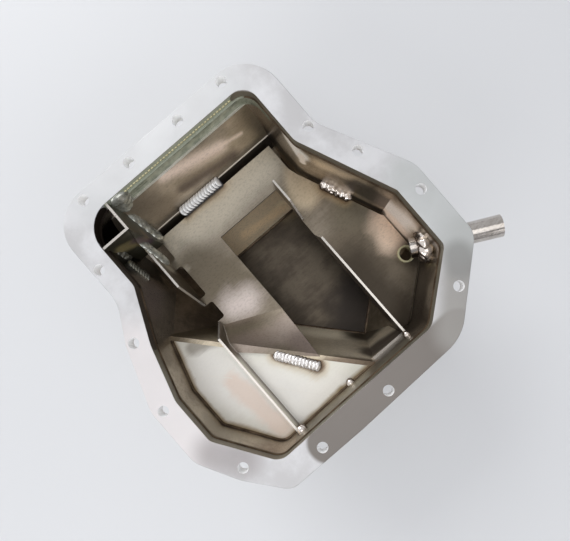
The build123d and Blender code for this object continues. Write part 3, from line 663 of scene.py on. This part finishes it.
# Heat tint and painted shade on the plate's inner edge, run by run.
for number, (start, end) in enumerate(FLANGE_LINE):
    start, end = (*start[:2], EDGE_DEPTH), (*end[:2], EDGE_DEPTH)
    flange_base = mix(near(flange_steel, start, end, *EDGE_REACH), flange_base, EDGE_TINTS_AND_SHADE.get(number, EDGE_TINT))
flange_steel.set(
    Metallic=0.45 - painted_hole_light * 0.35,
    Roughness=0.42 + (strokes - 0.5) * 0.2 + (swirl - 0.5) * 0.2,
    Base_Color=flange_base,
    Normal=relief(flange_steel, 0.2, strokes + swirl),
)
print("flange steel of", len(flange_steel.tree.nodes), "nodes")

# %% [markdown]
# ## Small parts and weld metal
# The tube is polished and mirrors the sheets round it, so it is all metal with little
# roughness. The drain is plain satin steel. Weld metal froze in small waves, and its
# colour is painted light: what looks up takes a painted highlight and what doesn't takes
# painted shade, so the crests are pale and the joins between puddles dark, following
# the direction of the surface with no drawing. The fine seams under the flange are
# brushed steel in the brown of their own heat.

# %% Small parts
tube_steel = brushed(
    "tube_steel", colour(206, 200, 194), colour(176, 168, 160),
    [((118, -67, 38), (122, -70, 36), 8, 15, BROWN, 0.6)], rough=0.16, metal=1.0, turn=math.radians(-28),
)
drain_steel = brushed("drain_steel", colour(190, 190, 190), colour(168, 168, 168), rough=0.32, metal=0.9)
# Pale cream: a painted highlight for the bright rim of the oil collar and for the glints of the fine bead under
# the flange.
rim_highlight_steel = brushed("rim_highlight_steel", colour(226, 220, 180), colour(206, 200, 160), rough=0.35, metal=0.5)
print("tube, drain and rim steel ready")

# %% Weld metal
# The seams under the flange are green along the back and dark down the left and in the duct's corner; in the
# corner the dark is painted shade.
SEAM_TINTS = [
    ((-56, 121, 10), (76, 121, 10), 3.0, 5.0, GREEN, 0.95),
    ((-85, 60, 10), (-85, 106, 10), 3.0, 6.0, SOOT_AND_SHADE, 0.9),
    ((-84, 106, 10), (-66, 121, 10), 3.0, 6.0, SOOT_AND_SHADE, 0.95),
]
# A painted highlight on the duct's inner tack; the tacks along the left wall are darker.
OLD_WELD_TINTS = [
    ((-59.4, 118, 35), (-58, 115, 38), 0.5, 5.0, WELD_HIGHLIGHT, 0.9),
    ((-90, 100, 18), (-80, 70, 38), 10.0, 14.0, colour(110, 108, 98), 0.9),
]


def rippled(name, crest_highlight, groove_shade, rough, metal):
    """Weld metal with a painted highlight on what looks up and painted shade where one puddle meets the next."""
    finish = Finish(name)
    clouds = noise(finish, 0.003, detail=3.0)
    # Painted light: faces that look up take the pale colour, the others the dark one.
    top = facing(finish, (0.0, 0.0, 1.0), 0.3, 0.9)
    finish.set(
        Metallic=metal,
        Roughness=rough + (clouds - 0.5) * 0.1,
        Base_Color=mix(step(top + (clouds - 0.5) * 0.5, 0.1, 0.7), groove_shade, crest_highlight),
    )
    return finish


seam_steel = brushed(
    "seam_steel", colour(112, 96, 78), colour(76, 62, 48), SEAM_TINTS, rough=0.35, cloud=0.012, metal=0.6
)
weld_steel = rippled("weld_steel", colour(255, 255, 255), colour(96, 98, 104), 0.22, 0.35)
bright_weld_steel = rippled("bright_weld_steel", colour(250, 240, 232), colour(104, 92, 82), 0.14, 0.75)
tail_weld_steel = rippled("tail_weld_steel", colour(244, 240, 238), colour(120, 112, 106), 0.26, 0.6)
old_weld_steel = brushed(
    "old_weld_steel", colour(212, 214, 206), colour(160, 162, 152), OLD_WELD_TINTS, rough=0.24, metal=0.6,
    cloud=0.006,
)
print("five weld metals ready")

# %% Finishes on the solids
for name, node in nodes.items():
    if name in sheet_finishes:
        chosen = sheet_finishes[name]
    elif name == "flange":
        chosen = flange_steel
    elif name == "dipstick_tube":
        chosen = tube_steel
    elif name == "oil_collar":
        chosen = rim_highlight_steel
    elif name.startswith("drain"):
        chosen = drain_steel
    elif name.endswith("_tacks"):
        chosen = old_weld_steel
    elif name in ("flange_weld", "shelf_weld", "sump_weld"):
        chosen = seam_steel
    elif name.endswith("_weld"):
        chosen = bright_weld_steel
    else:
        chosen = plain_sheet
    node.data.materials.clear()
    node.data.materials.append(chosen.material)
print("finishes given to", len(nodes), "solids")

# %% [markdown]
# ## Heavy welds
# A heavy TIG bead is a row of frozen puddles, each a crescent that overlaps the last.
# One crescent is modelled from a sphere: it is flattened, bent round and leaned back.
# An array then repeats it along the seam, a faint displacement makes the row uneven,
# and everything is applied, so that the piece lies at its place with no modifier left.
# A puddle is deeper than a sheet is thick, so each bead is cut off just behind the face
# it lies on, and nothing of it shows on the sheet's other side.

# %% Seats and trimming
SUNK = 0.0008


def seat(start, end, up):
    """Frame at start with X along the seam and Z away from the metal."""
    origin, along = Vector(mm(*start)), (Vector(mm(*end)) - Vector(mm(*start))).normalized()
    up = Vector(up)
    up = (up - along * up.dot(along)).normalized()
    side = up.cross(along)
    frame_matrix = Matrix((along, side, up)).transposed().to_4x4()
    frame_matrix.translation = origin
    return frame_matrix


def trim(piece, place, inwards):
    """Cut a piece off just behind a sheet's surface, so that nothing shows on the sheet's other side."""
    bpy.ops.object.select_all(action="DESELECT")
    piece.select_set(True)
    bpy.context.view_layer.objects.active = piece
    bpy.ops.object.mode_set(mode="EDIT")
    bpy.ops.mesh.select_all(action="SELECT")
    bpy.ops.mesh.bisect(
        plane_co=Vector(mm(*place)) - Vector(inwards) * SUNK, plane_no=inwards, use_fill=True, clear_inner=True
    )
    bpy.ops.object.mode_set(mode="OBJECT")


print("beads are cut", SUNK * 1000, "mm behind a face")

# %% Puddles
lumps = bpy.data.textures.new("lumps", "CLOUDS")
lumps.noise_scale = 0.003


def puddle(long, wide, high, bend, lean):
    """One crescent of weld metal, centred, with its length in metres along X."""
    bpy.ops.object.select_all(action="DESELECT")
    bpy.ops.mesh.primitive_uv_sphere_add(segments=24, ring_count=14, radius=1.0)
    piece = bpy.context.object
    piece.scale = (wide / 2, long / 2, high)
    bpy.ops.object.transform_apply(location=False, rotation=False, scale=True)
    if bend:
        arc = piece.modifiers.new("arc", "SIMPLE_DEFORM")
        arc.deform_method = "BEND"
        arc.deform_axis = "Z"
        arc.angle = bend
        bpy.ops.object.modifier_apply(modifier=arc.name)
    piece.rotation_euler = (0.0, 0.0, -QUARTER_TURN)
    bpy.ops.object.transform_apply(location=False, rotation=True, scale=False)
    piece.rotation_euler = (0.0, lean, 0.0)
    bpy.ops.object.transform_apply(location=False, rotation=True, scale=False)
    return piece


def roughen(piece, strength):
    """Make a row of puddles a little uneven."""
    uneven = piece.modifiers.new("uneven", "DISPLACE")
    uneven.texture = lumps
    uneven.strength = strength
    bpy.ops.object.modifier_apply(modifier=uneven.name)


print("lumps of", lumps.noise_scale * 1000, "mm")


# %% Rows of puddles
def bead(name, start, end, wide, high, pitch, up, finish, node=None, bend=1.6, lean=-0.35, spread=2.1,
         rough_metres=0.0003):
    """A row of puddles along a seam, as one piece that stands for a solid."""
    length = (Vector(mm(*end)) - Vector(mm(*start))).length
    count = max(1, round(length / pitch * 1000)) + 1
    piece = puddle(pitch / 1000 * spread, wide / 1000, high / 1000, bend, lean)
    piece.name = name
    row = piece.modifiers.new("row", "ARRAY")
    row.use_relative_offset = False
    row.use_constant_offset = True
    row.constant_offset_displace = (length / max(1, count - 1), 0.0, 0.0)
    row.count = count
    bpy.ops.object.modifier_apply(modifier=row.name)
    piece.matrix_world = seat(start, end, up)
    bpy.ops.object.transform_apply(location=True, rotation=True, scale=True)
    roughen(piece, rough_metres * 2)
    trim(piece, start, seat(start, end, up).col[2].to_3d())
    bpy.ops.object.shade_smooth()
    piece.data.materials.append(finish.material)
    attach(piece, "root")
    if node:
        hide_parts(node)
    print(name, count, "puddles,", len(piece.data.polygons), "faces")
    return piece


print("rows ready")

# %% [markdown]
# ## Beads on the baffle
# Three heavy beads hold the baffle: at the ramp, where its tail meets the shelf, and at
# the waist of the right wall. The welder's pace changed from seam to seam, so each bead
# has its own width, height and pitch. The one at the waist runs into the wall beside it
# and is trimmed by that wall as well. A fine seam follows the flange over the ramp.

# %% Beads on the baffle
bead("back_bead", (-25, 105, 65), (18, 104.7, 65), 11.2, 5.6, 3.3, (0, -0.35, 0.94), weld_steel,
     "baffle_back_weld", spread=1.6, lean=-0.5)
bead("tail_bead", (-43.2, -57.5, 39.6), (-22, -88.5, 39.6), 9.8, 4.0, 3.2, (0, 0, 1), tail_weld_steel,
     "baffle_tail_weld", spread=2.0, lean=-0.35, rough_metres=0.0006)
side_bead = bead("side_bead", (93.4, 35.5, 64), (103.2, 13, 64), 10.0, 4.2, 4.6, (-0.55, -0.24, 0.8),
                 bright_weld_steel, "baffle_side_weld", rough_metres=0.0014)
trim(side_bead, (84, 62, 64), WAIST_SIDE)
bead("flange_back_bead", (-46, 121.4, 5.2), (66, 121.4, 5.2), 1.8, 0.7, 3.1, (0, -1, 0), rim_highlight_steel,
     bend=0.0, lean=0.0, spread=0.9, rough_metres=0.0002)

# %% [markdown]
# ## Tacks on the duct and on the fins
# Short tacks hold the duct and the fins. A tack is a bead of a few wide, flat puddles,
# or one round ball where the torch only touched a corner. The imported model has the
# tacks of the duct as one solid and those of the fins as another, so they are joined
# into two pieces that take the places of those.


# %% Tacks on the duct and on the fins
def joined(name, pieces, node):
    """Several beads as one piece that stands for a solid."""
    bpy.ops.object.select_all(action="DESELECT")
    for piece in pieces:
        piece.select_set(True)
    bpy.context.view_layer.objects.active = pieces[0]
    bpy.ops.object.join()
    pieces[0].name = name
    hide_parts(node)
    print(name, len(pieces[0].data.polygons), "faces")
    return pieces[0]


duct_beads = joined("duct_beads", [
    bead("duct_top_bead", (-51, 121.2, 9), (-54, 121.2, 20), 15.0, 3.4, 5.5, (0, -1, 0), old_weld_steel,
         spread=3.0, lean=-0.15, rough_metres=0.0008),
    bead("duct_inner_bead", (-59.4, 117, 37), (-59.4, 104, 58), 15.0, 4.6, 8.0, (1, 0, 0), old_weld_steel,
         bend=0.7, spread=2.4, lean=-0.1, rough_metres=0.0005),
    bead("duct_outer_bead", (-85.3, 101, 18), (-85.3, 93, 31), 8.0, 4.0, 4.0, (1, 0, 0), old_weld_steel,
         spread=2.6, rough_metres=0.0012),
    bead("wall_bead", (-85.3, 84, 26), (-85.3, 70, 38), 9.0, 3.6, 2.8, (1, 0, 0), old_weld_steel, spread=1.8),
], "duct_tacks")
trim(duct_beads, (0, 119.5, 20), INCLINE_SIDE)
joined("fin_beads", [
    bead("fin_bead", (-67.9, 93, 37), (-67.9, 79, 52), 15.0, 3.8, 7.0, (1, 0, 0), old_weld_steel,
         bend=0.7, spread=2.4, lean=-0.1, rough_metres=0.0005),
    bead("shelf_fin_ball", (-67, -120, 27), (-66, -120, 28), 9.5, 5.6, 4.0, (0, 1, 0.2), bright_weld_steel,
         bend=0.0, lean=0.0),
    bead("front_ball", (-9.6, -119, 38), (-9.4, -119, 39), 8.0, 4.6, 4.0, (0, 1, 0.4), bright_weld_steel,
         bend=0.0, lean=0.0),
    bead("long_fin_ball", (55.6, -118.6, 34), (55.6, -118.6, 38), 6.0, 4.0, 3.0, (0, 1, 0.2), bright_weld_steel,
         bend=0.0, lean=0.0),
], "fin_tacks")

# %% [markdown]
# ## Ring round the tube
# The tube is welded all round where it comes through the wall. One crescent is set
# beside the tube with its length along the ring, and a spin about the tube's axis
# copies it round, which a straight array can't. The two faces of the wall that the ring
# lies on then trim it.

# %% Ring round the tube
RING_PUDDLES = 9
RING_RADIUS = 0.0112
TUBE_MOUTH = (119.5, -68, 37)
tube_axis = Vector((54.8, -29.5, 15.0)).normalized()
tube_centre = Vector(mm(*TUBE_MOUTH))
ring = puddle(0.0150, 0.0124, 0.0050, 1.0, -0.3)
ring.name = "tube_ring"
away = tube_axis.orthogonal().normalized()
place = Matrix((tube_axis.cross(away), tube_axis, away)).transposed().to_4x4()
place.translation = tube_centre + away * RING_RADIUS
ring.matrix_world = place
bpy.ops.object.transform_apply(location=True, rotation=True, scale=True)
bpy.ops.object.mode_set(mode="EDIT")
bpy.ops.mesh.select_all(action="SELECT")
bpy.ops.mesh.spin(
    steps=RING_PUDDLES - 1,
    dupli=True,
    angle=math.tau * (RING_PUDDLES - 1) / RING_PUDDLES,
    center=tube_centre,
    axis=tube_axis,
)
bpy.ops.object.mode_set(mode="OBJECT")
roughen(ring, 0.002)
trim(ring, TUBE_MOUTH, RIGHT_SIDE)
trim(ring, (119.5, -76.5, 37), CORNER_SIDE)
bpy.ops.object.shade_smooth()
ring.data.materials.append(bright_weld_steel.material)
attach(ring, "root")
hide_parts("tube_weld")
print("tube_ring", len(ring.data.polygons), "faces")
